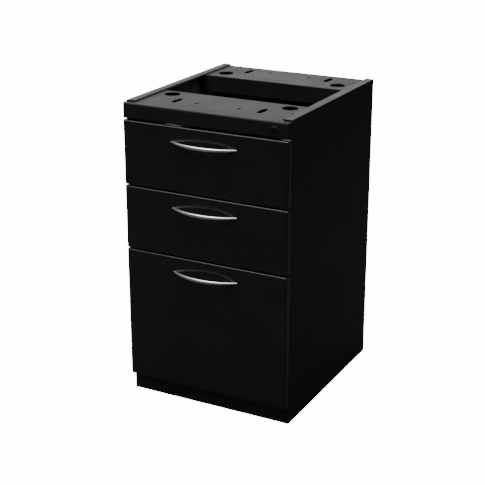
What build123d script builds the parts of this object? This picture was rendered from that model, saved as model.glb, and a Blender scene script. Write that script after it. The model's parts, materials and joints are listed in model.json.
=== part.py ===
from build123d import *
import os

# A steel pedestal cabinet for under a worksurface: two box drawers over a file drawer, in a folded
# case with an open top frame. Millimetres, +Z up, drawers opening towards -Y. The origin is on the
# floor, below the middle of the whole cabinet with its pulls.

# ---- case
case_width = 396
overall_depth = 454          # drawer faces to the back of the case
case_lift = 3                # floor to the bottom of the case
sheet = 1.2                  # case steel
bend_radius = 1.6            # outside of a fold
face_edge_radius = 3.2       # front edges of the drawer faces and of the rail
sheet_gap = 0.1              # between a sheet and the next one that it fits inside
top_flange = 20
rear_flange = 15
bottom_flange = 20
hem_depth = 6                # front edge of a side, folded back on itself
base_height = 47             # floor to the lowest drawer face
kick_overlap = 13            # how far the kick plate stands up behind that face
kick_flange = 15
pan_rim = 12

# ---- drawer faces and the rail over them
box_face_height = 144.5
file_face_height = 308
face_thickness = 16
face_gap = 3                 # between one face and the next
closing_gap = 1.5            # between a closed face and the case
rail_height = 37             # to the top of the case
rail_gap = 4                 # top face to rail

# ---- top channels, with their holes measured from the drawer faces or from the case back
channel_seam = 0.3
channel_drop = 2             # the plates under the side flanges
front_channel_end = 147      # drawer faces to the opening
back_channel_end = 126       # case back to the opening
channel_inner_flange = 38
channel_outer_flange = 30
channel_lip = 10
channel_tab = (34, 30)       # length along the side wall and height of the tabs at the opening
access_hole_radius = 18
access_hole_inset = 54       # from the case side
slot_length = 42
slot_width = 12
slot_eye_radius = 8.5        # a bolt head goes in through the eye in the middle of each slot
slot_inset = 95              # from the case side
bolt_hole_radius = 4.5
bolt_hole_spacing = 102
front_holes = {"access": 119, "slot": 71, "bolt": 65}
back_holes = {"access": 86, "slot": 45, "bolt": 38}
pilot_radius = 2.8
pilot_holes = ((74, 2), (30, 6), (25, -44))   # inset from the case side, distance past the slot
notch_size = (9, 5)
notch_insets = (28, 54, 76)  # from the case side, along the back edge
notch_edge = 8

# ---- drawer bodies
tray_sheet = 1.0
tray_lift = 16               # bottom of a face to the bottom of its body
tray_drop = 28.5             # top of a body to the top of its face
tray_rim = 6
stop_radius = 6
stop_spacing = 240
stop_gap = 0.6
hanger_inset = 22            # hanging-folder rails, from the body's sides
hanger_size = (2, 14)

# ---- telescopic slides
slide_thickness = 12.7
slide_height = 45
slide_sheet = 1.2
slide_step = 2.6             # ball track between one member's lip and the next
slide_front_inset = 28       # behind the front of the case
slide_rear_gap = 24          # to the back panel
case_lip_reach = 10          # from the wall
middle_web_gap = 1.2         # between the webs of the case and middle members
middle_lip_gap = 1.5         # from the lips' ends to the drawer body
drawer_lip_start = 4.8       # from the wall
box_slide_rise = 10          # bottom of the body to the slide
file_slide_rise = 110

# ---- pulls
pull_reach = 27              # out of the faces
pull_width = 160
pull_grip = 5                # thickness of the bow in its middle
pull_foot = 14
pull_height = 7.5
pull_end_height = 5
pull_radius = 2.2
pull_drop = 34               # from the top of the face
pull_screw_spacing = 143
pull_screw_radius = 2
pull_screw_grip = 3.2
pull_screw_head = (4, 2.4)
screw_clearance = 0.2
thread_clearance = 0.05

# ---- lock
lock_inset = 33              # from the right side
lock_drop = 23               # below the top
housing_radius = 9.5
bezel_radius = 11
bezel_reach = 1.5
housing_tail = 2.5           # behind the front of the case
plug_radius = 6.3
plug_recess = 0.3
running_clearance = 0.05
keyhole_size = (1.8, 7.5, 6)
nut_radius = 11.6
nut_thickness = 3
cam_arm = 8
cam_thickness = 2
cam_pin_radius = 2
cam_pin_length = 5
cam_gap = 0.5
slot_clearance = 0.4         # around the cam pin
bar_sheet = 1.5
bar_gap = 0.4                # to the wall
bar_inset = 8                # behind the front of the case
bar_width = 16
bar_tab = (7, 10)            # reach and height of a lock tab
bar_tab_gap = 1
bar_tail = 20
catch_reach = 7.7
catch_height = 10
catch_length = 19
catch_gap = 2
catch_drop = 15              # from the top of the body to the middle of the catch
guide_sheet = 1.0
guide_height = 10
guide_foot = 3
guide_gap = 0.5
guide_drop = 14              # below the bottom of a body

# ---- glides
glide_inset = 30
stud_radius = 5
stud_top = 38
stud_bottom = 1.2
foot_radius = 13
foot_thickness = 2.6
foot_edge = 0.8
nut_across = 16
nut_height = 8
pan_hole_clearance = 0.8

# ---- places that follow
overall_height = (
    base_height + file_face_height + 2 * face_gap + 2 * box_face_height + rail_gap + rail_height
)
half_width = case_width / 2
wall_x = half_width - sheet
inside_x = wall_x - sheet_gap
face_y = pull_reach - (overall_depth + pull_reach) / 2
face_back_y = face_y + face_thickness
case_front_y = face_back_y + closing_gap
back_y = face_y + overall_depth
panel_y = back_y - 2 * sheet             # inner face of the back panel
plate_top = overall_height - sheet - channel_drop
pan_z = case_lift + sheet
kick_top = base_height + kick_overlap
body_x = wall_x - slide_thickness
slide_front_y = case_front_y + slide_front_inset
slide_back_y = panel_y - slide_rear_gap
body_back_y = slide_back_y + sheet_gap
lock_x = half_width - lock_inset
lock_z = overall_height - lock_drop
lock_travel = 2 * cam_arm * 0.5 ** 0.5   # the cam pin's fall over a quarter turn
sides = (("left", -1), ("right", 1))

# each drawer: its name, the bottom and top of its face, and the bottom of its slide in its body
drawers = []
next_z = base_height
for drawer_name, face_height, rise in (
    ("file", file_face_height, file_slide_rise),
    ("middle", box_face_height, box_slide_rise),
    ("top", box_face_height, box_slide_rise),
):
    drawers.append((drawer_name, next_z, next_z + face_height, rise))
    next_z += face_height + face_gap


def block(xs, ys, zs, mode=Mode.ADD):
    """A box between two values on each axis, in the part that is being built."""
    (x0, x1), (y0, y1), (z0, z1) = sorted(xs), sorted(ys), sorted(zs)
    with Locations(((x0 + x1) / 2, (y0 + y1) / 2, (z0 + z1) / 2)):
        Box(x1 - x0, y1 - y0, z1 - z0, mode=mode)


def facing(y):
    """The plane at y that is drawn on from the front; a negative extrusion runs towards the back."""
    return Plane.XZ.offset(-y)


os.makedirs("parts", exist_ok=True)

# ---- side panels: a wall with top, rear and bottom flanges and a hemmed front edge
for side, sign in sides:
    with BuildPart() as side_panel:
        outer_x = sign * half_width
        block((sign * wall_x, outer_x), (case_front_y, back_y), (case_lift, overall_height))
        block(
            (sign * (half_width - top_flange), outer_x),
            (case_front_y, back_y),
            (plate_top, overall_height),
        )
        block(
            (sign * (half_width - rear_flange), outer_x),
            (back_y - sheet, back_y),
            (case_lift, overall_height),
        )
        outside = side_panel.faces().sort_by(Axis.X)[0 if sign < 0 else -1].edges()
        top_fold = outside.filter_by(Axis.Y).sort_by(Axis.Z)[-1]
        rear_fold = outside.filter_by(Axis.Z).sort_by(Axis.Y)[-1]
        fillet([top_fold, rear_fold], bend_radius)
        block(
            (sign * (half_width - bottom_flange), sign * wall_x),
            (case_front_y + hem_depth, panel_y - sheet_gap),
            (case_lift, pan_z),
        )
        block(
            (sign * (wall_x - sheet), sign * wall_x),
            (case_front_y, case_front_y + hem_depth),
            (kick_top + sheet, plate_top - sheet - channel_inner_flange),
        )
    side_panel.part.label = f"side_panel_{side}"
    export_step(side_panel.part, f"parts/side_panel_{side}.step")

# ---- back panel, inside the rear flanges
with BuildPart() as back_panel:
    block((-inside_x, inside_x), (panel_y, back_y - sheet), (case_lift, plate_top))
back_panel.part.label = "back_panel"
export_step(back_panel.part, "parts/back_panel.step")

# ---- bottom pan on the bottom flanges, with a rim along the sides and the back
with BuildPart() as bottom_pan:
    rim_front_y = case_front_y + kick_flange + 2 * sheet
    pan_back_y = panel_y - sheet_gap
    pan_front_y = case_front_y + sheet + sheet_gap
    block((-inside_x, inside_x), (pan_front_y, pan_back_y), (pan_z, pan_z + sheet))
    block((-inside_x, inside_x), (pan_back_y - sheet, pan_back_y), (pan_z, pan_z + pan_rim))
    for side, sign in sides:
        block(
            (sign * (inside_x - sheet), sign * inside_x),
            (rim_front_y, pan_back_y),
            (pan_z, pan_z + pan_rim),
        )
    with Locations(
        *[
            (sign * (half_width - glide_inset), y, pan_z)
            for side, sign in sides
            for y in (case_front_y + glide_inset, back_y - glide_inset)
        ]
    ):
        Cylinder(stud_radius + pan_hole_clearance, 4 * sheet, mode=Mode.SUBTRACT)
bottom_pan.part.label = "bottom_pan"
export_step(bottom_pan.part, "parts/bottom_pan.step")

# ---- kick plate: the front of the base, with flanges turned back on all four edges
with BuildPart() as kick_plate:
    flange_y = (case_front_y, case_front_y + kick_flange)
    block((-inside_x, inside_x), (case_front_y, case_front_y + sheet), (case_lift, kick_top))
    block((-inside_x, inside_x), flange_y, (kick_top - sheet, kick_top))
    block((-inside_x, inside_x), flange_y, (pan_z + sheet, pan_z + 2 * sheet))
    for side, sign in sides:
        block((sign * (inside_x - sheet), sign * inside_x), flange_y, (pan_z + sheet, kick_top))
kick_plate.part.label = "kick_plate"
export_step(kick_plate.part, "parts/kick_plate.step")

# ---- top channels: a perforated plate with a flange and lip at the opening and a flange outside
for name, outer_y, inner_y, datum_y, holes in (
    ("front", case_front_y + channel_seam, face_y + front_channel_end, face_y, front_holes),
    ("back", panel_y - sheet_gap, back_y - back_channel_end, back_y, back_holes),
):
    inward = 1 if inner_y > outer_y else -1
    with BuildPart() as top_channel:
        block((-inside_x, inside_x), (outer_y, inner_y), (plate_top - sheet, plate_top))
        block(
            (-inside_x, inside_x),
            (inner_y - inward * sheet, inner_y),
            (plate_top - channel_inner_flange, plate_top),
        )
        fillet(
            top_channel.edges().filter_by(Axis.X).filter_by(
                lambda edge: abs(edge.center().Y - inner_y) < sheet_gap
                and abs(edge.center().Z - plate_top) < sheet_gap
            ),
            bend_radius,
        )
        block(
            (-inside_x, inside_x),
            (inner_y - inward * channel_lip, inner_y),
            (plate_top - channel_inner_flange, plate_top - channel_inner_flange + sheet),
        )
        block(
            (-inside_x, inside_x),
            (outer_y, outer_y + inward * sheet),
            (plate_top - channel_outer_flange, plate_top),
        )
        tab_length, tab_height = channel_tab
        for side, sign in sides:
            block(
                (sign * (inside_x - sheet), sign * wall_x),
                (inner_y - inward * sheet, inner_y + inward * tab_length),
                (plate_top - channel_inner_flange, plate_top - channel_inner_flange + tab_height),
            )
            hole_y = {kind: datum_y + inward * past for kind, past in holes.items()}
            with Locations((sign * (half_width - access_hole_inset), hole_y["access"], plate_top)):
                Cylinder(access_hole_radius, 4 * sheet, mode=Mode.SUBTRACT)
            with Locations((sign * bolt_hole_spacing / 2, hole_y["bolt"], plate_top)):
                Cylinder(bolt_hole_radius, 4 * sheet, mode=Mode.SUBTRACT)
            with Locations(
                *[
                    (sign * (half_width - inset), hole_y["slot"] + inward * past, plate_top)
                    for inset, past in pilot_holes
                ]
            ):
                Cylinder(pilot_radius, 4 * sheet, mode=Mode.SUBTRACT)
        with BuildSketch(Plane.XY.offset(plate_top)):
            slot_x = half_width - slot_inset
            with Locations((-slot_x, hole_y["slot"]), (slot_x, hole_y["slot"])):
                SlotOverall(slot_length, slot_width, rotation=90)
                Circle(slot_eye_radius)
        extrude(amount=-2 * sheet, mode=Mode.SUBTRACT)
        if name == "back":
            notch_places = [half_width - inset for inset in notch_insets]
            notch_places += [-place for place in notch_places]
            with BuildSketch(Plane.XY.offset(plate_top)):
                with Locations(*[(place, back_y - notch_edge) for place in notch_places]):
                    Rectangle(*notch_size)
            extrude(amount=-2 * sheet, mode=Mode.SUBTRACT)
        else:
            with BuildSketch(facing(outer_y)):
                with Locations((lock_x, lock_z)):
                    Circle(housing_radius + screw_clearance)
            extrude(amount=-2 * sheet, mode=Mode.SUBTRACT)
    top_channel.part.label = f"top_channel_{name}"
    export_step(top_channel.part, f"parts/top_channel_{name}.step")

# ---- lock rail: a box pan over the top drawer, open behind, level with the channels' plates
rail_z = overall_height - rail_height
with BuildPart() as lock_rail:
    block((-half_width, half_width), (face_y, case_front_y), (rail_z, plate_top))
    fillet(lock_rail.edges().group_by(Axis.Y)[0], face_edge_radius)
    block(
        (-wall_x, wall_x),
        (face_y + sheet, case_front_y),
        (rail_z + sheet, plate_top - sheet),
        mode=Mode.SUBTRACT,
    )
    with BuildSketch(facing(face_y)):
        with Locations((lock_x, lock_z)):
            Circle(housing_radius + thread_clearance)
    extrude(amount=-2 * sheet, mode=Mode.SUBTRACT)
lock_rail.part.label = "lock_rail"
export_step(lock_rail.part, "parts/lock_rail.step")

# ---- lock: housing with its bezel, the nut behind the rail, the plug, and the cam with its pin
housing_back_y = case_front_y + housing_tail
with BuildPart() as lock_housing:
    with BuildSketch(facing(face_y - bezel_reach)):
        with Locations((lock_x, lock_z)):
            Circle(bezel_radius)
    extrude(amount=-bezel_reach)
    fillet(lock_housing.edges().group_by(Axis.Y)[0], bezel_reach / 2)
    with BuildSketch(facing(face_y)):
        with Locations((lock_x, lock_z)):
            Circle(housing_radius)
    extrude(amount=face_y - housing_back_y)
    with BuildSketch(facing(face_y - bezel_reach)):
        with Locations((lock_x, lock_z)):
            Circle(plug_radius + running_clearance)
    extrude(amount=face_y - bezel_reach - housing_back_y, mode=Mode.SUBTRACT)
lock_housing.part.label = "lock_housing"
export_step(lock_housing.part, "parts/lock_housing.step")

with BuildPart() as lock_nut:
    with BuildSketch(facing(face_y + sheet)):
        with Locations((lock_x, lock_z)):
            RegularPolygon(nut_radius, 6)
            Circle(housing_radius + thread_clearance, mode=Mode.SUBTRACT)
    extrude(amount=-nut_thickness)
lock_nut.part.label = "lock_nut"
export_step(lock_nut.part, "parts/lock_nut.step")

cam_y = housing_back_y + cam_gap
with BuildPart() as lock_plug:
    plug_face_y = face_y - bezel_reach + plug_recess
    with BuildSketch(facing(plug_face_y)):
        with Locations((lock_x, lock_z)):
            Circle(plug_radius)
    extrude(amount=plug_face_y - cam_y)
    keyhole_width, keyhole_height, keyhole_depth = keyhole_size
    with BuildSketch(facing(plug_face_y)):
        with Locations((lock_x, lock_z)):
            Rectangle(keyhole_width, keyhole_height)
            Circle(keyhole_width)
    extrude(amount=-keyhole_depth, mode=Mode.SUBTRACT)
lock_plug.part.label = "lock_plug"
export_step(lock_plug.part, "parts/lock_plug.step")

pin_x = lock_x + lock_travel / 2
pin_z = lock_z + lock_travel / 2
with BuildPart() as lock_cam:
    with BuildSketch(facing(cam_y)):
        with Locations((lock_x, lock_z)):
            Circle(plug_radius)
        with Locations((pin_x, pin_z)):
            Circle(cam_pin_radius * 2)
        make_hull()
    extrude(amount=-cam_thickness)
    with BuildSketch(facing(cam_y + cam_thickness)):
        with Locations((pin_x, pin_z)):
            Circle(cam_pin_radius)
    extrude(amount=-cam_pin_length)
lock_cam.part.label = "lock_cam"
export_step(lock_cam.part, "parts/lock_cam.step")

# ---- lock bar: a strip on the right wall, slotted for the cam pin, with a tab over each drawer's catch
bar_x = wall_x - bar_gap
bar_front_y = case_front_y + bar_inset
bar_back_y = bar_front_y + bar_width
tab_reach, tab_height = bar_tab
catch_heights = [top_z - tray_drop - catch_drop for name, bottom_z, top_z, rise in drawers]
with BuildPart() as lock_bar:
    slot_half_height = cam_pin_radius + slot_clearance
    arm_half_height = slot_half_height + 2 * bar_sheet
    arm_end_x = lock_x + lock_travel / 2 - slot_half_height - 2 * bar_sheet
    arm_y = (bar_front_y, bar_front_y + bar_sheet)
    bar_end_z = min(catch_heights) - bar_tail
    bar_top_z = pin_z + arm_half_height
    block((bar_x - bar_sheet, bar_x), (bar_front_y, bar_back_y), (bar_end_z, bar_top_z))
    block((arm_end_x, bar_x), arm_y, (pin_z - arm_half_height, bar_top_z))
    block(
        (pin_x - slot_half_height, lock_x + cam_arm + slot_half_height),
        arm_y,
        (pin_z - slot_half_height, pin_z + slot_half_height),
        mode=Mode.SUBTRACT,
    )
    for catch_z in catch_heights:
        tab_z = catch_z + catch_height / 2 + bar_tab_gap
        block(
            (bar_x - bar_sheet - tab_reach, bar_x),
            (bar_back_y - bar_sheet, bar_back_y),
            (tab_z, tab_z + tab_height),
        )
lock_bar.part.label = "lock_bar"
export_step(lock_bar.part, "parts/lock_bar.step")

# ---- guides: a strap over the lock bar below each box drawer and under the top channel
guide_heights = [bottom_z + tray_lift - guide_drop for name, bottom_z, top_z, rise in drawers[1:]]
guide_heights.append(plate_top - channel_inner_flange - guide_height)
with BuildPart() as lock_bar_guides:
    strap_x = bar_x - bar_sheet - guide_gap
    front_leg_y = bar_front_y - guide_gap
    back_leg_y = bar_back_y + guide_gap
    strap_y = (front_leg_y - guide_sheet, back_leg_y + guide_sheet)
    for guide_z in guide_heights:
        heights = (guide_z - guide_height / 2, guide_z + guide_height / 2)
        block((strap_x - guide_sheet, strap_x), strap_y, heights)
        block((strap_x, wall_x), (front_leg_y - guide_sheet, front_leg_y), heights)
        block((strap_x, wall_x), (back_leg_y, back_leg_y + guide_sheet), heights)
        block((wall_x - guide_sheet, wall_x), (back_leg_y, back_leg_y + guide_sheet + guide_foot), heights)
lock_bar_guides.part.label = "lock_bar_guides"
export_step(lock_bar_guides.part, "parts/lock_bar_guides.step")

# ---- rear stops: two rubber posts on the back panel behind each drawer
with BuildPart() as rear_stops:
    with BuildSketch(facing(body_back_y + stop_gap)):
        for name, bottom_z, top_z, rise in drawers:
            stop_z = bottom_z + tray_lift + 2 * rise
            with Locations(*[(sign * stop_spacing / 2, stop_z) for side, sign in sides]):
                Circle(stop_radius)
    extrude(amount=body_back_y + stop_gap - panel_y)
rear_stops.part.label = "rear_stops"
export_step(rear_stops.part, "parts/rear_stops.step")

# ---- slides: each member is a channel; the case's opens to the drawer and the drawer's to the wall
slide_y = (slide_front_y, slide_back_y)
middle_web = slide_sheet + middle_web_gap
middle_half = slide_height / 2 - slide_sheet - slide_step
drawer_half = middle_half - slide_sheet - slide_step
drawer_web = slide_thickness - slide_sheet
# each member: the depths of its web's outer face and of its lips' ends from the wall, and half its height
members = {
    "case": (0, 0, case_lip_reach, slide_height / 2),
    "middle": (middle_web, middle_web, slide_thickness - middle_lip_gap, middle_half),
    "drawer": (drawer_web, drawer_lip_start, slide_thickness, drawer_half),
}


def member(kind, sign, slide_z):
    """One slide member's web and two lips, on one side of the cabinet."""
    web, lip_start, lip_end, half = members[kind]
    web_x = (sign * (wall_x - web), sign * (wall_x - web - slide_sheet))
    lip_x = (sign * (wall_x - lip_start), sign * (wall_x - lip_end))
    block(web_x, slide_y, (slide_z - half, slide_z + half))
    block(lip_x, slide_y, (slide_z + half - slide_sheet, slide_z + half))
    block(lip_x, slide_y, (slide_z - half, slide_z - half + slide_sheet))


for name, bottom_z, top_z, rise in drawers:
    slide_z = bottom_z + tray_lift + rise + slide_height / 2
    with BuildPart() as case_members:
        member("case", -1, slide_z)
        member("case", 1, slide_z)
    case_members.part.label = f"{name}_slide_case_members"
    export_step(case_members.part, f"parts/{name}_slide_case_members.step")

    for side, sign in sides:
        with BuildPart() as slide_middle:
            member("middle", sign, slide_z)
        slide_middle.part.label = f"{name}_slide_middle_{side}"
        export_step(slide_middle.part, f"parts/{name}_slide_middle_{side}.step")

    with BuildPart() as drawer_members:
        member("drawer", -1, slide_z)
        member("drawer", 1, slide_z)
    drawer_members.part.label = f"{name}_drawer_slide_members"
    export_step(drawer_members.part, f"parts/{name}_drawer_slide_members.step")

# ---- drawers
screw_x = pull_screw_spacing / 2
head_radius, head_height = pull_screw_head
for name, bottom_z, top_z, rise in drawers:
    body_z = bottom_z + tray_lift
    rim_z = top_z - tray_drop
    pull_z = top_z - pull_drop

    # outer face: a pan open behind
    with BuildPart() as drawer_face:
        block((-half_width, half_width), (face_y, face_back_y), (bottom_z, top_z))
        fillet(drawer_face.edges().group_by(Axis.Y)[0], face_edge_radius)
        block(
            (-wall_x, wall_x),
            (face_y + sheet, face_back_y),
            (bottom_z + sheet, top_z - sheet),
            mode=Mode.SUBTRACT,
        )
        with BuildSketch(facing(face_y)):
            with Locations((-screw_x, pull_z), (screw_x, pull_z)):
                Circle(pull_screw_radius + screw_clearance)
        extrude(amount=-2 * sheet, mode=Mode.SUBTRACT)
    drawer_face.part.label = f"{name}_drawer_face"
    export_step(drawer_face.part, f"parts/{name}_drawer_face.step")

    # liner: the plate that closes the pan and makes the inside of the drawer's front
    with BuildPart() as face_liner:
        block(
            (-inside_x, inside_x),
            (face_back_y - tray_sheet, face_back_y),
            (bottom_z + sheet + sheet_gap, top_z - sheet - sheet_gap),
        )
        with BuildSketch(facing(face_back_y)):
            with Locations((-screw_x, pull_z), (screw_x, pull_z)):
                Circle(pull_screw_radius + screw_clearance)
        extrude(amount=tray_sheet, mode=Mode.SUBTRACT)
    face_liner.part.label = f"{name}_drawer_face_liner"
    export_step(face_liner.part, f"parts/{name}_drawer_face_liner.step")

    # body: bottom and sides in one fold, with turned-in rims
    with BuildPart() as drawer_body:
        block((-body_x, body_x), (face_back_y, body_back_y), (body_z, rim_z))
        block(
            (-body_x + tray_sheet, body_x - tray_sheet),
            (face_back_y, body_back_y),
            (body_z + tray_sheet, rim_z),
            mode=Mode.SUBTRACT,
        )
        for side, sign in sides:
            block(
                (sign * (body_x - tray_rim), sign * body_x),
                (face_back_y, body_back_y),
                (rim_z - tray_sheet, rim_z),
            )
    drawer_body.part.label = f"{name}_drawer_body"
    export_step(drawer_body.part, f"parts/{name}_drawer_body.step")

    # back: a plate between the sides, with its own rim turned forwards between theirs
    with BuildPart() as body_back:
        block(
            (-body_x + tray_sheet, body_x - tray_sheet),
            (body_back_y - tray_sheet, body_back_y),
            (body_z + tray_sheet, rim_z - tray_sheet),
        )
        block(
            (-body_x + tray_rim + sheet_gap, body_x - tray_rim - sheet_gap),
            (body_back_y - tray_rim, body_back_y),
            (rim_z - 2 * tray_sheet, rim_z - tray_sheet),
        )
    body_back.part.label = f"{name}_drawer_body_back"
    export_step(body_back.part, f"parts/{name}_drawer_body_back.step")

    # pull: a bow between two arcs, slimmer towards its ends
    with BuildPart() as pull:
        half_pull = pull_width / 2
        half_gap = half_pull - pull_foot
        with BuildSketch(Plane.XY.offset(pull_z - pull_height / 2)):
            with BuildLine():
                ThreePointArc((-half_pull, face_y), (0, face_y - pull_reach), (half_pull, face_y))
                Line((half_pull, face_y), (half_gap, face_y))
                ThreePointArc((half_gap, face_y), (0, face_y - pull_reach + pull_grip), (-half_gap, face_y))
                Line((-half_gap, face_y), (-half_pull, face_y))
            make_face()
        extrude(amount=pull_height)
        with BuildSketch(facing(face_y - pull_reach)):
            with BuildLine():
                for sign in (1, -1):
                    ThreePointArc(
                        (-half_pull, pull_z + sign * pull_end_height / 2),
                        (0, pull_z + sign * pull_height / 2),
                        (half_pull, pull_z + sign * pull_end_height / 2),
                    )
                for x in (-half_pull, half_pull):
                    Line((x, pull_z - pull_end_height / 2), (x, pull_z + pull_end_height / 2))
            make_face()
        extrude(amount=-pull_reach, mode=Mode.INTERSECT)
        fillet(
            pull.edges().filter_by(
                lambda edge: abs(edge.center().X) < half_gap / 2 and edge.center().Y < face_y - sheet
            ),
            pull_radius,
        )
        with BuildSketch(facing(face_y)):
            with Locations((-screw_x, pull_z), (screw_x, pull_z)):
                Circle(pull_screw_radius + thread_clearance)
        extrude(amount=pull_screw_grip + thread_clearance, mode=Mode.SUBTRACT)
    pull.part.label = f"{name}_drawer_pull"
    export_step(pull.part, f"parts/{name}_drawer_pull.step")

    with BuildPart() as pull_screws:
        with BuildSketch(facing(face_y - pull_screw_grip)):
            with Locations((-screw_x, pull_z), (screw_x, pull_z)):
                Circle(pull_screw_radius)
        extrude(amount=-(pull_screw_grip + face_thickness + head_height))
        with BuildSketch(facing(face_back_y)):
            with Locations((-screw_x, pull_z), (screw_x, pull_z)):
                Circle(head_radius)
        extrude(amount=-head_height)
        fillet(pull_screws.edges().group_by(Axis.Y)[-1], head_height / 3)
    pull_screws.part.label = f"{name}_drawer_pull_screws"
    export_step(pull_screws.part, f"parts/{name}_drawer_pull_screws.step")

    # catch: an angle on the right side of the body, behind the lock bar's tab
    with BuildPart() as lock_catch:
        catch_z = rim_z - catch_drop
        catch_y = bar_back_y + catch_gap
        heights = (catch_z - catch_height / 2, catch_z + catch_height / 2)
        block((body_x, body_x + tray_sheet), (catch_y, catch_y + catch_length), heights)
        block((body_x, body_x + catch_reach), (catch_y, catch_y + bar_sheet), heights)
    lock_catch.part.label = f"{name}_drawer_lock_catch"
    export_step(lock_catch.part, f"parts/{name}_drawer_lock_catch.step")

# ---- hanging-folder rails, front to back along the top of the file drawer
file_rim_z = drawers[0][2] - tray_drop
hanger_thickness, hanger_height = hanger_size
with BuildPart() as hanger_rails:
    hanger_x = body_x - hanger_inset
    for side, sign in sides:
        block(
            (sign * hanger_x, sign * (hanger_x - hanger_thickness)),
            (face_back_y, body_back_y - tray_rim),
            (file_rim_z - hanger_height, file_rim_z),
        )
hanger_rails.part.label = "file_drawer_hanger_rails"
export_step(hanger_rails.part, "parts/file_drawer_hanger_rails.step")

# ---- glides: a foot and stud at each corner, in a weld nut on the pan
corners = [
    (f"{end}_{side}", sign * (half_width - glide_inset), y)
    for end, y in (("front", case_front_y + glide_inset), ("back", back_y - glide_inset))
    for side, sign in sides
]
with BuildPart() as glide_nuts:
    with BuildSketch(Plane.XY.offset(pan_z + sheet)):
        with Locations(*[(x, y) for corner, x, y in corners]):
            RegularPolygon(nut_across / 2, 6, major_radius=False)
            Circle(stud_radius + running_clearance, mode=Mode.SUBTRACT)
    extrude(amount=nut_height)
glide_nuts.part.label = "glide_nuts"
export_step(glide_nuts.part, "parts/glide_nuts.step")

for corner, x, y in corners:
    with BuildPart() as stud:
        with BuildSketch(Plane.XY.offset(stud_bottom)):
            with Locations((x, y)):
                Circle(stud_radius)
        extrude(amount=stud_top - stud_bottom)
        chamfer(stud.edges().group_by(Axis.Z)[-1], foot_edge)
    stud.part.label = f"glide_{corner}_stud"
    export_step(stud.part, f"parts/glide_{corner}_stud.step")

    with BuildPart() as foot:
        with BuildSketch(Plane.XY):
            with Locations((x, y)):
                Circle(foot_radius)
        extrude(amount=foot_thickness)
        chamfer(foot.edges().group_by(Axis.Z)[0], foot_edge)
        with BuildSketch(Plane.XY.offset(stud_bottom)):
            with Locations((x, y)):
                Circle(stud_radius)
        extrude(amount=foot_thickness - stud_bottom, mode=Mode.SUBTRACT)
    foot.part.label = f"glide_{corner}_foot"
    export_step(foot.part, f"parts/glide_{corner}_foot.step")
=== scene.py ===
import json
import math

import bmesh
import bpy
from mathutils import Matrix, Vector


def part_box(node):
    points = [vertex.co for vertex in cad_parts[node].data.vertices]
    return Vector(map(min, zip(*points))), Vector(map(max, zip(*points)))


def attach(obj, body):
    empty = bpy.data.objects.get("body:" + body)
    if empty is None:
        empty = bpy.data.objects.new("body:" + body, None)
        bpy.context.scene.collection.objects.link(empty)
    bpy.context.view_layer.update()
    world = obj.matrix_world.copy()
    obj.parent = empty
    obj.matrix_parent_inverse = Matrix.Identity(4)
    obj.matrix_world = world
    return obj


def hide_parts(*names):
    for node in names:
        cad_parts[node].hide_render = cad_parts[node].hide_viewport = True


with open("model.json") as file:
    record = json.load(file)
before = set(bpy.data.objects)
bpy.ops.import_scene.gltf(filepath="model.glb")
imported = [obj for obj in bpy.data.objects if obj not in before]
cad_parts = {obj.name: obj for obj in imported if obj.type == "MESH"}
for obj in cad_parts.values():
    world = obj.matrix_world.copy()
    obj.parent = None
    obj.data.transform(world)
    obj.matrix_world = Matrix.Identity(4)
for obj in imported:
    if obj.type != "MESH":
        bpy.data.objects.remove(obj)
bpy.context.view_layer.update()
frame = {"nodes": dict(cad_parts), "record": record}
MM = 0.001
DRAWERS = ("top", "middle", "file")
SIDES = (("left", -1), ("right", 1))


# ---- places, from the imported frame
def low(node):
    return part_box(node)[0]


def high(node):
    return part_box(node)[1]


# ---- shader groups
def new_group(name, inputs, outputs):
    """An empty shader group; inputs are (name, kind, default) and outputs (name, kind)."""
    group = bpy.data.node_groups.new(name, "ShaderNodeTree")
    for socket, kind, default in inputs:
        made = group.interface.new_socket(name=socket, in_out="INPUT", socket_type=f"NodeSocket{kind}")
        made.default_value = default
    for socket, kind in outputs:
        group.interface.new_socket(name=socket, in_out="OUTPUT", socket_type=f"NodeSocket{kind}")
    return group, group.nodes.new("NodeGroupInput"), group.nodes.new("NodeGroupOutput")


def math_node(tree, operation, first, second=None):
    """A Math node; each operand is a socket to link or a number to set."""
    node = tree.nodes.new("ShaderNodeMath")
    node.operation = operation
    for socket, value in zip(node.inputs, (first, second)):
        if value is None:
            continue
        if hasattr(value, "links"):
            tree.links.new(value, socket)
        else:
            socket.default_value = value
    return node.outputs["Value"]


def noise_node(tree, vector, scale, detail=2.0, roughness=0.5):
    node = tree.nodes.new("ShaderNodeTexNoise")
    node.inputs["Detail"].default_value = detail
    node.inputs["Roughness"].default_value = roughness
    if hasattr(scale, "links"):
        tree.links.new(scale, node.inputs["Scale"])
    else:
        node.inputs["Scale"].default_value = scale
    tree.links.new(vector, node.inputs["Vector"])
    return node.outputs["Fac"]


def spread(tree, value, low_value, high_value, start=0.0, end=1.0):
    """A value from start to end, mapped to low_value to high_value, which may be sockets."""
    node = tree.nodes.new("ShaderNodeMapRange")
    node.inputs["From Min"].default_value = start
    node.inputs["From Max"].default_value = end
    tree.links.new(value, node.inputs["Value"])
    for socket, bound in (("To Min", low_value), ("To Max", high_value)):
        if hasattr(bound, "links"):
            tree.links.new(bound, node.inputs[socket])
        else:
            node.inputs[socket].default_value = bound
    return node.outputs["Result"]


RIPPLE_SCALE = 140.0                 # noise scales, in waves to the metre
CLOUD_SCALE = 9.0
DUST_AND_SHEEN_PATCH_SCALE = 14.0
EDGE_SAMPLES = 4


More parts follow.
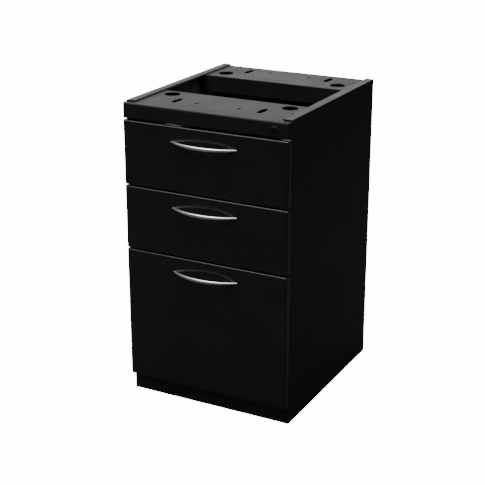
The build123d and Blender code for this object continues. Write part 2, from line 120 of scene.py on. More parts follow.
def powder_coat_group():
    """The grain of sprayed powder: fine pebbles over a slow ripple, with the gloss uneven to match."""
    group, inputs, outputs = new_group(
        "PowderCoatGrain",
        (
            ("Pebble Scale", "Float", 900.0),
            ("Ripple", "Float", 0.5),
            ("Roughness", "Float", 0.4),
            ("Variation", "Float", 0.08),
        ),
        (("Height", "Float"), ("Roughness", "Float"), ("Tone", "Float")),
    )
    place = group.nodes.new("ShaderNodeTexCoord").outputs["Object"]
    pebbles = noise_node(group, place, inputs.outputs["Pebble Scale"], detail=3.0, roughness=0.55)
    ripple = noise_node(group, place, RIPPLE_SCALE, detail=1.0)
    cloud = noise_node(group, place, CLOUD_SCALE, detail=4.0, roughness=0.6)
    height = math_node(group, "ADD", pebbles, math_node(group, "MULTIPLY", ripple, inputs.outputs["Ripple"]))
    uneven = spread(group, cloud, -1.0, 1.0, 0.3, 0.7)
    swing = math_node(group, "MULTIPLY", uneven, inputs.outputs["Variation"])
    rough = math_node(group, "ADD", inputs.outputs["Roughness"], swing)
    group.links.new(height, outputs.inputs["Height"])
    group.links.new(rough, outputs.inputs["Roughness"])
    group.links.new(spread(group, cloud, 0.0, 1.0, 0.25, 0.75), outputs.inputs["Tone"])
    return group


def brushed_group():
    """Brushed metal: hair lines along X, as a height and a roughness."""
    group, inputs, outputs = new_group(
        "BrushedLines",
        (
            ("Along", "Float", 12.0),
            ("Across", "Float", 1600.0),
            ("Roughness", "Float", 0.25),
            ("Variation", "Float", 0.1),
        ),
        (("Height", "Float"), ("Roughness", "Float")),
    )
    place = group.nodes.new("ShaderNodeTexCoord").outputs["Object"]
    parts = group.nodes.new("ShaderNodeSeparateXYZ")
    group.links.new(place, parts.inputs["Vector"])
    stretched = group.nodes.new("ShaderNodeCombineXYZ")
    for axis, rate in (("X", "Along"), ("Y", "Across"), ("Z", "Across")):
        scaled = math_node(group, "MULTIPLY", parts.outputs[axis], inputs.outputs[rate])
        group.links.new(scaled, stretched.inputs[axis])
    lines = noise_node(group, stretched.outputs["Vector"], 1.0, detail=3.0, roughness=0.6)
    uneven = spread(group, lines, -1.0, 1.0, 0.3, 0.7)
    swing = math_node(group, "MULTIPLY", uneven, inputs.outputs["Variation"])
    rough = math_node(group, "ADD", inputs.outputs["Roughness"], swing)
    group.links.new(lines, outputs.inputs["Height"])
    group.links.new(rough, outputs.inputs["Roughness"])
    return group


def dust_and_top_sheen_group():
    """Dust and handling marks, with a painted sheen on tops: a mask that is strongest on faces that look up,
    broken into specks.
    """
    group, inputs, outputs = new_group(
        "DustAndTopSheen",
        (("Amount", "Float", 0.1), ("Speck Scale", "Float", 260.0), ("Evenness", "Float", 0.3)),
        (("Mask", "Float"),),
    )
    place = group.nodes.new("ShaderNodeTexCoord").outputs["Object"]
    normal = group.nodes.new("ShaderNodeNewGeometry").outputs["Normal"]
    parts = group.nodes.new("ShaderNodeSeparateXYZ")
    group.links.new(normal, parts.inputs["Vector"])
    upward = spread(group, parts.outputs["Z"], 0.0, 1.0, 0.3, 1.0)
    grit = noise_node(group, place, inputs.outputs["Speck Scale"], detail=5.0, roughness=0.7)
    specks = spread(group, grit, inputs.outputs["Evenness"], 1.0, 0.5, 0.75)
    patches = spread(group, noise_node(group, place, DUST_AND_SHEEN_PATCH_SCALE, detail=3.0), 0.6, 1.0, 0.35, 0.65)
    mask = math_node(group, "MULTIPLY", math_node(group, "MULTIPLY", upward, specks), patches)
    group.links.new(math_node(group, "MULTIPLY", mask, inputs.outputs["Amount"]), outputs.inputs["Mask"])
    return group


def edge_wear_highlight_group():
    """Edges, where the normal rounded over a small radius leaves the surface's own, broken up by noise: a
    mask for rubbed wear and a painted highlight along the edges.
    """
    group, inputs, outputs = new_group(
        "EdgeWearAndHighlight",
        (("Radius", "Float", 0.0008), ("Patch Scale", "Float", 60.0)),
        (("Mask", "Float"),),
    )
    rounded = group.nodes.new("ShaderNodeBevel")
    rounded.samples = EDGE_SAMPLES
    group.links.new(inputs.outputs["Radius"], rounded.inputs["Radius"])
    place = group.nodes.new("ShaderNodeTexCoord").outputs["Object"]
    agree = group.nodes.new("ShaderNodeVectorMath")
    agree.operation = "DOT_PRODUCT"
    group.links.new(rounded.outputs["Normal"], agree.inputs[0])
    group.links.new(group.nodes.new("ShaderNodeNewGeometry").outputs["Normal"], agree.inputs[1])
    edge = spread(group, agree.outputs["Value"], 1.0, 0.0, 0.75, 0.98)
    worn = noise_node(group, place, inputs.outputs["Patch Scale"], detail=4.0)
    patches = spread(group, worn, 0.35, 1.0, 0.35, 0.65)
    group.links.new(math_node(group, "MULTIPLY", edge, patches), outputs.inputs["Mask"])
    return group


def interior_light_group():
    """Upright faces that look in towards the middle of the case, where a paler tone is painted in as light
    falling inside the case.
    """
    group, inputs, outputs = new_group("PaintedInteriorLight", (("Reach", "Float", 40.0),), (("Mask", "Float"),))
    surface = group.nodes.new("ShaderNodeNewGeometry")
    place = group.nodes.new("ShaderNodeSeparateXYZ")
    facing = group.nodes.new("ShaderNodeSeparateXYZ")
    group.links.new(surface.outputs["Position"], place.inputs["Vector"])
    group.links.new(surface.outputs["Normal"], facing.inputs["Vector"])
    aside = math_node(group, "MULTIPLY", place.outputs["X"], inputs.outputs["Reach"])
    inward = math_node(group, "MULTIPLY", aside, facing.outputs["X"])
    group.links.new(spread(group, inward, 1.0, 0.0, -1.0, 0.0), outputs.inputs["Mask"])
    return group


GRAIN = powder_coat_group()
BRUSHED = brushed_group()
DUST_AND_TOP_SHEEN = dust_and_top_sheen_group()
EDGE_WEAR_HIGHLIGHT = edge_wear_highlight_group()
INTERIOR_LIGHT = interior_light_group()


# ---- materials
def new_material(name):
    material = bpy.data.materials.new(name)
    material.use_nodes = True
    tree = material.node_tree
    return material, tree, tree.nodes["Principled BSDF"]


def place_group(tree, group, **values):
    """A group in a material, with its inputs set; underscores stand for spaces."""
    node = tree.nodes.new("ShaderNodeGroup")
    node.node_tree = group
    for name, value in values.items():
        node.inputs[name.replace("_", " ")].default_value = value
    return node


def add_bump(tree, shader, height, distance, strength=1.0):
    bump = tree.nodes.new("ShaderNodeBump")
    bump.inputs["Distance"].default_value = distance
    bump.inputs["Strength"].default_value = strength
    tree.links.new(height, bump.inputs["Height"])
    tree.links.new(bump.outputs["Normal"], shader.inputs["Normal"])


def mix_colour(tree, factor, first, second):
    """A blend of two colours; each is a socket to link or three numbers."""
    node = tree.nodes.new("ShaderNodeMix")
    node.data_type = "RGBA"
    tree.links.new(factor, node.inputs["Factor"])
    for socket, value in (("A", first), ("B", second)):
        found = [i for i in node.inputs if i.name == socket and i.type == "RGBA"][0]
        if hasattr(value, "links"):
            tree.links.new(value, found)
        else:
            found.default_value = (*value, 1.0)
    return [o for o in node.outputs if o.type == "RGBA"][0]


# the grey of dust, and of a painted sheen on the tops of the case
DUST_AND_SHEEN_GREY = (0.32, 0.31, 0.3)
METAL_DUST = 0.12
PLASTIC_DUST = 0.08
# paler paint on edges: rubbed wear and a painted edge highlight
WORN_AND_HIGHLIT_EDGE_TONE = (0.06, 0.06, 0.062)
# painted light: a warm paler tone for the case's inner faces
INTERIOR_LIGHT_TONE = (0.07, 0.063, 0.058)
PAINT_EDGE = 0.9 * MM                # how far in from an edge the paint is rubbed and the highlight painted


def powder_coat(name, dark, light, roughness, specular, dust_and_sheen, evenness=0.3, edge_wear_and_highlight=0.25, pebble=0.04 * MM):
    """Black powder coat: a grainy semi-gloss film, with painted light making the inner faces paler, paler at
    edges with rubbed wear and a painted highlight, and dusty on top with a painted sheen.
    """
    material, tree, shader = new_material(name)
    grain = place_group(tree, GRAIN, Pebble_Scale=1100.0, Ripple=0.6, Roughness=roughness, Variation=0.05)
    # dust, and a painted sheen on faces that look up
    facing_up_mask = place_group(tree, DUST_AND_TOP_SHEEN, Amount=dust_and_sheen, Evenness=evenness)
    edges = place_group(tree, EDGE_WEAR_HIGHLIGHT, Radius=PAINT_EDGE)
    paint = mix_colour(tree, grain.outputs["Tone"], dark, light)
    # painted light: the inner faces of the case are made paler, as if lit inside
    interior_light = place_group(tree, INTERIOR_LIGHT)
    paint = mix_colour(tree, interior_light.outputs["Mask"], paint, INTERIOR_LIGHT_TONE)
    # rubbed wear and a painted highlight along the edges
    worn_and_highlit = math_node(tree, "MULTIPLY", edges.outputs["Mask"], edge_wear_and_highlight)
    paint = mix_colour(tree, worn_and_highlit, paint, WORN_AND_HIGHLIT_EDGE_TONE)
    tree.links.new(mix_colour(tree, facing_up_mask.outputs["Mask"], paint, DUST_AND_SHEEN_GREY), shader.inputs["Base Color"])
    tree.links.new(grain.outputs["Roughness"], shader.inputs["Roughness"])
    shader.inputs["Specular IOR Level"].default_value = specular
    add_bump(tree, shader, grain.outputs["Height"], pebble)
    return material


def satin_metal(name, dark, light, roughness, along=12.0, across=1600.0, depth=0.01 * MM):
    """Plated or bare metal with fine brushed lines, a touch darker and rougher in patches."""
    material, tree, shader = new_material(name)
    lines = place_group(tree, BRUSHED, Along=along, Across=across, Roughness=roughness, Variation=0.06)
    facing_up_mask = place_group(tree, DUST_AND_TOP_SHEEN, Amount=METAL_DUST, Speck_Scale=500.0)
    shader.inputs["Metallic"].default_value = 1.0
    metal = mix_colour(tree, lines.outputs["Height"], dark, light)
    tree.links.new(mix_colour(tree, facing_up_mask.outputs["Mask"], metal, dark), shader.inputs["Base Color"])
    tree.links.new(lines.outputs["Roughness"], shader.inputs["Roughness"])
    add_bump(tree, shader, lines.outputs["Height"], depth)
    return material


def moulded(name, dark, light, roughness, pebble):
    """Moulded plastic or rubber with a fine grain and a little dust."""
    material, tree, shader = new_material(name)
    grain = place_group(tree, GRAIN, Pebble_Scale=1900.0, Ripple=0.2, Roughness=roughness, Variation=0.08)
    facing_up_mask = place_group(tree, DUST_AND_TOP_SHEEN, Amount=PLASTIC_DUST)
    plastic = mix_colour(tree, grain.outputs["Tone"], dark, light)
    tree.links.new(mix_colour(tree, facing_up_mask.outputs["Mask"], plastic, DUST_AND_SHEEN_GREY), shader.inputs["Base Color"])
    tree.links.new(grain.outputs["Roughness"], shader.inputs["Roughness"])
    add_bump(tree, shader, grain.outputs["Height"], pebble)
    return material


# the near-even dust here also paints a sheen on the case's top flanges
CASE_COAT = powder_coat(
    "case_powder_coat", (0.003, 0.003, 0.0042), (0.0045, 0.0045, 0.0063),
    roughness=0.42, specular=0.12, dust_and_sheen=0.1, evenness=0.85,
)
TOP_COAT = powder_coat(
    "top_powder_coat", (0.0055, 0.0055, 0.006), (0.0082, 0.0082, 0.0088),
    roughness=0.36, specular=0.068, dust_and_sheen=0.035, evenness=0.2,
)
# the drawer faces get a stronger painted highlight along their edges, as of light on their rounded edges
FACE_COAT = powder_coat(
    "face_powder_coat", (0.0044, 0.0038, 0.004), (0.0064, 0.0056, 0.0059),
    roughness=0.2, specular=0.3, dust_and_sheen=0.01, edge_wear_and_highlight=0.55,
)
TRAY_COAT = powder_coat(
    "drawer_body_coat", (0.011, 0.011, 0.0115), (0.015, 0.015, 0.016),
    roughness=0.42, specular=0.25, dust_and_sheen=0.06,
)
NICKEL = satin_metal("satin_nickel", (0.62, 0.575, 0.52), (0.78, 0.73, 0.67), roughness=0.32)
ZINC = satin_metal(
    "zinc_plated_steel", (0.5, 0.52, 0.54), (0.66, 0.68, 0.7), roughness=0.34, along=60.0, across=700.0,
)
DARK_PLATE = satin_metal(
    "dark_plated_brass", (0.03, 0.03, 0.033), (0.055, 0.055, 0.06), roughness=0.3, along=400.0, across=400.0,
)
BALL_STEEL = satin_metal(
    "ball_steel", (0.6, 0.61, 0.63), (0.72, 0.73, 0.75), roughness=0.12, along=90.0, across=90.0,
)
NYLON = moulded("black_nylon", (0.012, 0.012, 0.012), (0.02, 0.02, 0.02), roughness=0.45, pebble=0.03 * MM)
RUBBER = moulded(
    "black_rubber", (0.016, 0.016, 0.016), (0.026, 0.026, 0.026), roughness=0.7, pebble=0.05 * MM,
)

SLOT_MATERIALS = {
    "black_powder_coat": CASE_COAT,
    "black_drawer_paint": TRAY_COAT,
    "satin_nickel": NICKEL,
    "zinc_steel": ZINC,
    "black_nylon": NYLON,
    "black_rubber": RUBBER,
    "black_chrome": DARK_PLATE,
    "nickel_plug": DARK_PLATE,
}


def finish_cad_nodes():
    """Each CAD node takes the material of its slot; the faces, rail and channels take their own coats."""
    slots = {part["node"]: part["material_slot"] for part in frame["record"]["subparts"]}
    for name, node in frame["nodes"].items():
        material = SLOT_MATERIALS[slots[name]]
        if name.endswith("_drawer_face") or name == "kick_plate":
            material = FACE_COAT
        if name.startswith("top_channel") or name == "lock_rail":
            material = TOP_COAT
        node.data.materials.clear()
        node.data.materials.append(material)


# ---- mesh tools
SMOOTH_ANGLE = math.radians(32)
RING = 32                            # segments round a turned piece
UPRIGHT = Matrix.Identity(4)
FACING_FRONT = Matrix.Rotation(math.radians(90), 4, "X")     # +Z of a turned piece comes to point at -Y
FACING_BACK = Matrix.Rotation(math.radians(-90), 4, "X")


def new_piece(name, build, material, body):
    """An object from a bmesh, with its material, riding on a body."""
    bmesh.ops.recalc_face_normals(build, faces=build.faces)
    mesh = bpy.data.meshes.new(name)
    build.to_mesh(mesh)
    build.free()
    mesh.materials.append(material)
    for polygon in mesh.polygons:
        polygon.use_smooth = True
    mesh.set_sharp_from_angle(angle=SMOOTH_ANGLE)
    piece = bpy.data.objects.new(name, mesh)
    bpy.context.scene.collection.objects.link(piece)
    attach(piece, body)
    return piece


def join_rings(build, rings):
    """Faces between neighbouring rings of points; a ring of one point closes the end."""
    for first, second in zip(rings, rings[1:]):
        count = max(len(first), len(second))
        for k in range(count):
            after = (k + 1) % count
            if len(first) == 1:
                build.faces.new((first[0], second[k], second[after]))
            elif len(second) == 1:
                build.faces.new((first[k], second[0], first[after]))
            else:
                build.faces.new((first[k], second[k], second[after], first[after]))


def turned(build, profile, place, turn=UPRIGHT, segments=RING):
    """A turned solid of (radius, height) along +Z, axis to axis. A radius may be a function of the angle."""
    rings = []
    move = Matrix.Translation(place) @ turn
    for radius, height in profile:
        if radius == 0:
            rings.append([build.verts.new(move @ Vector((0, 0, height)))])
            continue
        ring = []
        for k in range(segments):
            angle = math.tau * k / segments
            reach = radius(angle) if callable(radius) else radius
            point = Vector((reach * math.cos(angle), reach * math.sin(angle), height))
            ring.append(build.verts.new(move @ point))
        rings.append(ring)
    join_rings(build, rings)


def cross_shape(half_width, length):
    """A plus sign as a reach for each angle, with short slopes between its arms."""
    def reach(angle):
        along, aside = sorted((abs(math.cos(angle)), abs(math.sin(angle))), reverse=True)
        return min(length / along, half_width / max(aside, 1e-6))
    return reach


# ---- pulls
BOW_RINGS = 72
BOW_SECTION = 28
BOW_FOOT = 14 * MM
BOW_GRIP = 5 * MM
BOW_END_HEIGHT = 4.6 * MM
BOW_ROUNDNESS = 2.2                  # 2 is an ellipse, and more is squarer


def arc_depth(x, half_chord, rise):
    """How far an arc over a chord stands out at x."""
    radius = (half_chord ** 2 + rise ** 2) / (2 * rise)
    return math.sqrt(radius ** 2 - x ** 2) - (radius - rise)


def bow_pull(drawer):
    """A bow swept between an outer and an inner arc, oval in section and slimmer towards its feet."""
    (x0, y0, z0), (x1, y1, z1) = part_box(f"{drawer}_drawer_pull")
    half, reach, height = (x1 - x0) / 2, y1 - y0, z1 - z0
    mid_x, mid_z = (x0 + x1) / 2, (z0 + z1) / 2
    build = bmesh.new()
    rings = []
    for k in range(BOW_RINGS + 1):
        u = math.sin((k / BOW_RINGS - 0.5) * math.pi)
        outer = Vector((u * half, -arc_depth(u * half, half, reach)))
        gap = half - BOW_FOOT
        inner = Vector((u * gap, -arc_depth(u * gap, gap, reach - BOW_GRIP)))
        centre, thick = (outer + inner) / 2, (outer - inner) / 2
        tall = height / 2 + (BOW_END_HEIGHT - height) / 2 * u * u
        ring = []
        for j in range(BOW_SECTION):
            angle = math.tau * j / BOW_SECTION
            c, s = math.cos(angle), math.sin(angle)
            a = math.copysign(abs(c) ** (2 / BOW_ROUNDNESS), c)
            b = math.copysign(abs(s) ** (2 / BOW_ROUNDNESS), s)
            flat = centre + thick * a
            ring.append(build.verts.new((mid_x + flat.x, y1 + flat.y, mid_z + tall * b)))
        rings.append(ring)
    join_rings(build, rings)
    build.faces.new(rings[0])
    build.faces.new(rings[-1])
    piece = new_piece(f"{drawer}_drawer_bow_pull", build, NICKEL, f"{drawer}_drawer")
    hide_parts(f"{drawer}_drawer_pull")


# ---- pull screws, seen inside an open drawer
SCREW_RADIUS = 2 * MM
HEAD_RADIUS = 4 * MM
HEAD_HEIGHT = 2.4 * MM
RECESS_DEPTH = 1.3 * MM


def pull_screws(drawer):
    """Two pan-head machine screws with cross recesses, from the bow through to the liner."""
    (x0, y0, z0), (x1, y1, z1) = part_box(f"{drawer}_drawer_pull_screws")
    middle_z = (z0 + z1) / 2
    seat = y1 - y0 - HEAD_HEIGHT
    build = bmesh.new()
    profile = [(0, 0), (SCREW_RADIUS * 0.75, 0), (SCREW_RADIUS, SCREW_RADIUS * 0.3), (SCREW_RADIUS, seat)]
    profile += [(HEAD_RADIUS * 0.97, seat), (HEAD_RADIUS, seat + HEAD_HEIGHT * 0.15)]
    for k in range(1, 6):
        angle = math.radians(15 * k)
        out = HEAD_RADIUS * (0.55 + 0.45 * math.cos(angle))
        profile.append((out, seat + HEAD_HEIGHT * (0.3 + 0.7 * math.sin(angle))))
    profile += [
        (cross_shape(0.55 * MM, 2.1 * MM), seat + HEAD_HEIGHT),
        (cross_shape(0.4 * MM, 1.5 * MM), seat + HEAD_HEIGHT - RECESS_DEPTH),
        (0, seat + HEAD_HEIGHT - RECESS_DEPTH * 1.2),
    ]
    for x in (x0 + HEAD_RADIUS, x1 - HEAD_RADIUS):
        turned(build, profile, (x, y0, middle_z), FACING_BACK, segments=48)
    piece = new_piece(f"{drawer}_drawer_cross_screws", build, ZINC, f"{drawer}_drawer")
    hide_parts(f"{drawer}_drawer_pull_screws")


# ---- slides: balls in their cages, between the members
SLIDE_SHEET = 1.2 * MM
BALL_RADIUS = 1.25 * MM
BALL_SPACING = 11 * MM
CAGE_WIDTH = 4.4 * MM
CAGE_THICKNESS = 0.7 * MM
CAGE_LENGTH = 176 * MM
CAGE_START = 0.04                    # share of the case member's length in front of the cage
OUTER_CAGE_INSET = 6.0 * MM          # from the side wall
INNER_CAGE_INSET = 8.2 * MM


def cage(build, x, y, z):
    """A strip with a row of balls through it."""
    count = int(CAGE_LENGTH / BALL_SPACING)
    middle = Matrix.Translation((x, y + CAGE_LENGTH / 2, z))
    stretch = Matrix.Diagonal((CAGE_WIDTH, CAGE_LENGTH, CAGE_THICKNESS, 1))
    bmesh.ops.create_cube(build, size=1.0, matrix=middle @ stretch)
    for k in range(count):
        spot = Matrix.Translation((x, y + (k + 0.5) * BALL_SPACING, z))
        bmesh.ops.create_icosphere(build, subdivisions=2, radius=BALL_RADIUS, matrix=spot)


def slide_balls(drawer):
    """Cages in the case members, which stay with the case, and in the middle members, which ride on them."""
    case_low, case_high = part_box(f"{drawer}_slide_case_members")
    tray_low, tray_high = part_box(f"{drawer}_drawer_slide_members")
    middle_z = (case_low.z + case_high.z) / 2
    start = case_low.y + (case_high.y - case_low.y) * CAGE_START
    outer = bmesh.new()
    for side, sign in SIDES:
        member_low, member_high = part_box(f"{drawer}_slide_middle_{side}")
        wall = abs(case_low.x)
        outer_rise = ((case_high.z - middle_z - SLIDE_SHEET) + (member_high.z - middle_z)) / 2
        inner_rise = ((member_high.z - middle_z - SLIDE_SHEET) + (tray_high.z - middle_z)) / 2
        inner = bmesh.new()
        for way in (-1, 1):
            cage(outer, sign * (wall - OUTER_CAGE_INSET), start, middle_z + way * outer_rise)
            cage(inner, sign * (wall - INNER_CAGE_INSET), start, middle_z + way * inner_rise)
        body = f"{drawer}_slide_middle_{side}"
        new_piece(f"{drawer}_inner_ball_cages_{side}", inner, BALL_STEEL, body)
    new_piece(f"{drawer}_outer_ball_cages", outer, BALL_STEEL, "case")


# ---- glides
THREAD_PITCH = 1.5 * MM
THREAD_DEPTH = 0.7 * MM
THREAD_STEPS = 6                     # rings to each turn of the thread
STUD_GAP = 0.05 * MM                 # between the stud and its foot
STUD_SEAT = 1.2 * MM                 # bottom of the foot to the stud


def glide(corner):
    """A threaded stud, and a round foot with a moulded rim, hollowed where it meets the floor."""
    (x0, y0, z0), (x1, y1, z1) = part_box(f"glide_{corner}_stud")
    place = ((x0 + x1) / 2, (y0 + y1) / 2, z0)
    radius, length = (x1 - x0) / 2, z1 - z0

    def thread(height):
        def reach(angle):
            phase = (height / THREAD_PITCH - angle / math.tau) % 1.0
            return radius - THREAD_DEPTH * abs(2 * phase - 1)
        return reach

    build = bmesh.new()
    profile = [(0, 0), (radius - THREAD_DEPTH, 0)]
    steps = int((length - 3 * MM) / THREAD_PITCH) * THREAD_STEPS
    for k in range(steps + 1):
        height = 1.5 * MM + k * THREAD_PITCH / THREAD_STEPS
        profile.append((thread(height), height))
    profile += [(radius - THREAD_DEPTH * 1.4, length), (0, length)]
    turned(build, profile, place, segments=24)
    stud = new_piece(f"glide_{corner}_threaded_stud", build, ZINC, f"glide_{corner}")
    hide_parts(f"glide_{corner}_stud")

    (x0, y0, z0), (x1, y1, z1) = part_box(f"glide_{corner}_foot")
    rim, thick = (x1 - x0) / 2, z1 - z0
    build = bmesh.new()
    profile = [
        (0, 0.5 * MM), (rim - 4 * MM, 0.5 * MM), (rim - 3.4 * MM, 0), (rim - 1.2 * MM, 0),
        (rim - 0.3 * MM, 0.5 * MM), (rim, thick * 0.5), (rim - 0.5 * MM, thick * 0.9),
        (rim - 1.4 * MM, thick), (radius + STUD_GAP, thick), (radius + STUD_GAP, STUD_SEAT), (0, STUD_SEAT),
    ]
    turned(build, profile, (place[0], place[1], z0), segments=48)
    foot = new_piece(f"glide_{corner}_moulded_foot", build, NYLON, f"glide_{corner}")
    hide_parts(f"glide_{corner}_foot")


# ---- stops
STOP_SPACING = 240 * MM
STOP_RISE = {"top": 20 * MM, "middle": 20 * MM, "file": 220 * MM}    # above the bottom of each drawer's body
STOP_FLANGE = 2 * MM
STOP_NOSE = 3 * MM
STOP_GROOVE = 0.9 * MM
STOP_RIBS = 5
STOP_BUTTON = 5.5 * MM               # the head that holds each stop, behind the back panel


def rubber_stops():
    """Ribbed posts with domed noses, two behind each drawer, pushed in through the back panel."""
    low_corner, high_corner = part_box("rear_stops")
    radius = (high_corner.x - low_corner.x - STOP_SPACING) / 2
    length = high_corner.y - low_corner.y
    ribbed = length - STOP_FLANGE - STOP_NOSE
    profile = [(0, 0), (radius, 0), (radius, STOP_FLANGE)]
    for k in range(STOP_RIBS):
        middle = STOP_FLANGE + ribbed * (k + 0.5) / STOP_RIBS
        quarter = ribbed / STOP_RIBS / 4
        profile += [(radius, middle - quarter), (radius - STOP_GROOVE, middle), (radius, middle + quarter)]
    for k in range(6):
        angle = math.radians(16 * k)
        profile.append((radius * math.cos(angle), length - STOP_NOSE * (1 - math.sin(angle))))
    profile.append((0, length))
    build = bmesh.new()
    button = [
        (0, 0), (STOP_BUTTON, 0), (STOP_BUTTON * 0.95, 0.5 * MM), (STOP_BUTTON * 0.7, 0.9 * MM), (0, MM),
    ]
    for drawer in DRAWERS:
        z = low(f"{drawer}_drawer_body").z + STOP_RISE[drawer]
        for side, sign in SIDES:
            x = sign * STOP_SPACING / 2
            turned(build, profile, (x, high_corner.y, z), FACING_FRONT, segments=24)
            turned(build, button, (x, high("back_panel").y, z), FACING_BACK, segments=24)
    piece = new_piece("rear_rubber_stops", build, RUBBER, "case")
    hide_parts("rear_stops")


# ---- weld marks and pressed beads
WELD_RADIUS = 2.8 * MM
WELD_HEIGHT = 0.25 * MM
WELD_PLACES = (8 * MM, 24 * MM)      # in from the tab's free end
WELD_RISE = 15 * MM
CASE_SHEET = 1.2 * MM
BEAD_HEIGHT = 1.3 * MM
BEAD_WIDTH = 13 * MM
BEAD_INSET = 34 * MM                 # from the drawer body's sides
BEADS = 5
BEAD_SEGMENTS = 24
TRAY_SHEET = 1.0 * MM


def weld_marks():
    """Shallow spot-weld nuggets, two on each tab of the top channels."""
    build = bmesh.new()
    profile = [
        (0, 0), (WELD_RADIUS, 0), (WELD_RADIUS * 0.8, WELD_HEIGHT),
        (WELD_RADIUS * 0.55, WELD_HEIGHT * 0.5), (0, WELD_HEIGHT * 0.4),
    ]
    wall = high("bottom_pan").x - CASE_SHEET
    for end, way in (("front", -1), ("back", 1)):
        low_corner, high_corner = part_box(f"top_channel_{end}")
        edge = high_corner.y if end == "front" else low_corner.y
        for side, sign in SIDES:
            turn = Matrix.Rotation(math.radians(-90 * sign), 4, "Y")
            for along in WELD_PLACES:
                spot = (sign * wall, edge + way * along, low_corner.z + WELD_RISE)
                turned(build, profile, spot, turn, segments=20)
    new_piece("channel_weld_marks", build, TOP_COAT, "case")


def bead(build, x0, x1, y, z):
    """A pressed bead along X: a stadium that rises in a smooth shoulder."""
    rings = []
    for share, rise in ((1.0, 0.0), (0.86, 0.25), (0.66, 0.75), (0.45, 1.0)):
        half = BEAD_WIDTH / 2 * share
        ring = []
        for k in range(BEAD_SEGMENTS):
            angle = math.tau * (k + 0.5) / BEAD_SEGMENTS
            end = x1 - BEAD_WIDTH / 2 if math.cos(angle) > 0 else x0 + BEAD_WIDTH / 2
            point = (end + half * math.cos(angle), y + half * math.sin(angle), z + BEAD_HEIGHT * rise)
            ring.append(build.verts.new(point))
        rings.append(ring)
    join_rings(build, rings)
    build.faces.new(rings[0])
    build.faces.new(rings[-1])


def tray_beads(drawer):
    """Stiffening beads across a drawer's bottom."""
    low_corner, high_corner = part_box(f"{drawer}_drawer_body")
    floor = low_corner.z + TRAY_SHEET
    build = bmesh.new()
    for k in range(BEADS):
        y = low_corner.y + (high_corner.y - low_corner.y) * (k + 0.5) / BEADS
        bead(build, low_corner.x + BEAD_INSET, high_corner.x - BEAD_INSET, y, floor)
    new_piece(f"{drawer}_drawer_bottom_beads", build, TRAY_COAT, f"{drawer}_drawer")


# ---- stage
FLOOR_SEEN = (0.85, 0.85, 0.85)
FLOOR_BOUNCE = (0.06, 0.06, 0.06)   # what the cabinet gets back from the floor
FLOOR_GLOW = 14.0
FLOOR_REACH = 30.0
WORLD_LIGHT = 0.3
SOFTBOXES = (                        # name, place, what it looks at, width and height, watts
    ("softbox_behind", (-1.6, 3.1, 1.9), (0.0, 0.0, 0.6), (2.6, 1.6), 16.0),
    ("softbox_above", (-0.3, -0.2, 3.2), (0.0, 0.0, 0.0), (4.0, 4.0), 230.0),
    ("softbox_front", (-0.7, -2.0, 2.8), (0.0, 0.0, 0.4), (2.4, 0.9), 75.0),
)
CAMERA_AZIMUTH = 27.7                # degrees to the right of straight in front
CAMERA_ELEVATION = 20.0
CAMERA_DISTANCE = 2.77
CAMERA_TARGET = (-0.011, -0.015, 0.336)
CAMERA_LENS = 88.9


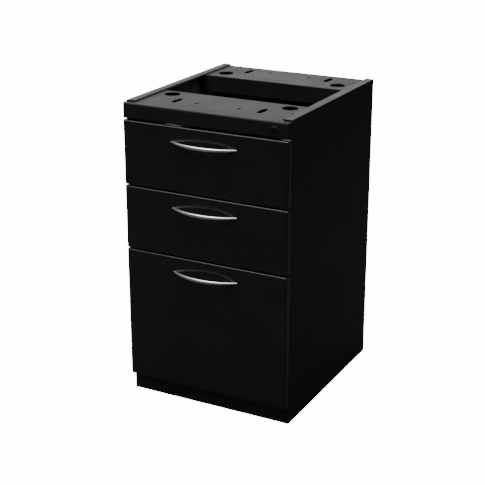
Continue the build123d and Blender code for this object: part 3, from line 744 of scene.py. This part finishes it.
def make_floor():
    """A plain pale floor, far wider than the view and clear from below, so that the underside can be seen."""
    mesh = bpy.data.meshes.new("studio_floor")
    build = bmesh.new()
    bmesh.ops.create_grid(build, x_segments=1, y_segments=1, size=FLOOR_REACH)
    build.to_mesh(mesh)
    build.free()
    floor = bpy.data.objects.new("studio_floor", mesh)
    bpy.context.scene.collection.objects.link(floor)
    material, tree, shader = new_material("studio_floor")
    shader.inputs["Roughness"].default_value = 0.9
    shader.inputs["Specular IOR Level"].default_value = 0.1
    seen = tree.nodes.new("ShaderNodeLightPath").outputs["Is Camera Ray"]
    tree.links.new(mix_colour(tree, seen, FLOOR_BOUNCE, FLOOR_SEEN), shader.inputs["Base Color"])
    shader.inputs["Emission Color"].default_value = (1.0, 1.0, 1.0, 1.0)
    tree.links.new(math_node(tree, "MULTIPLY", seen, FLOOR_GLOW), shader.inputs["Emission Strength"])
    clear = tree.nodes.new("ShaderNodeBsdfTransparent")
    either = tree.nodes.new("ShaderNodeMixShader")
    tree.links.new(tree.nodes.new("ShaderNodeNewGeometry").outputs["Backfacing"], either.inputs["Fac"])
    tree.links.new(shader.outputs["BSDF"], either.inputs[1])
    tree.links.new(clear.outputs["BSDF"], either.inputs[2])
    tree.links.new(either.outputs["Shader"], tree.nodes["Material Output"].inputs["Surface"])
    mesh.materials.append(material)


def make_light(name, place, target, size, power):
    """A soft rectangular light that looks at the target."""
    data = bpy.data.lights.new(name, "AREA")
    data.shape = "RECTANGLE"
    data.size, data.size_y = size
    data.energy = power
    light = bpy.data.objects.new(name, data)
    light.location = place
    light.rotation_euler = (Vector(target) - Vector(place)).to_track_quat("-Z", "Y").to_euler()
    bpy.context.scene.collection.objects.link(light)


def make_world():
    world = bpy.data.worlds.new("studio")
    bpy.context.scene.world = world
    world.use_nodes = True
    background = world.node_tree.nodes["Background"]
    background.inputs["Color"].default_value = (1.0, 1.0, 1.0, 1.0)
    background.inputs["Strength"].default_value = WORLD_LIGHT


def make_camera():
    """From the right and above, with a long lens."""
    azimuth, elevation = math.radians(CAMERA_AZIMUTH), math.radians(CAMERA_ELEVATION)
    back = Vector((
        math.sin(azimuth) * math.cos(elevation),
        -math.cos(azimuth) * math.cos(elevation),
        math.sin(elevation),
    ))
    data = bpy.data.cameras.new("camera")
    data.sensor_width = 36.0
    data.lens = CAMERA_LENS
    camera = bpy.data.objects.new("camera", data)
    camera.location = Vector(CAMERA_TARGET) + CAMERA_DISTANCE * back
    camera.rotation_euler = (-back).to_track_quat("-Z", "Y").to_euler()
    bpy.context.scene.collection.objects.link(camera)
    bpy.context.scene.camera = camera


make_camera()
make_world()
make_floor()
for softbox in SOFTBOXES:
    make_light(*softbox)
finish_cad_nodes()
for name in DRAWERS:
    bow_pull(name)
    pull_screws(name)
    slide_balls(name)
    tray_beads(name)
for end in ("front", "back"):
    for side, sign in SIDES:
        glide(f"{end}_{side}")
rubber_stops()
weld_marks()
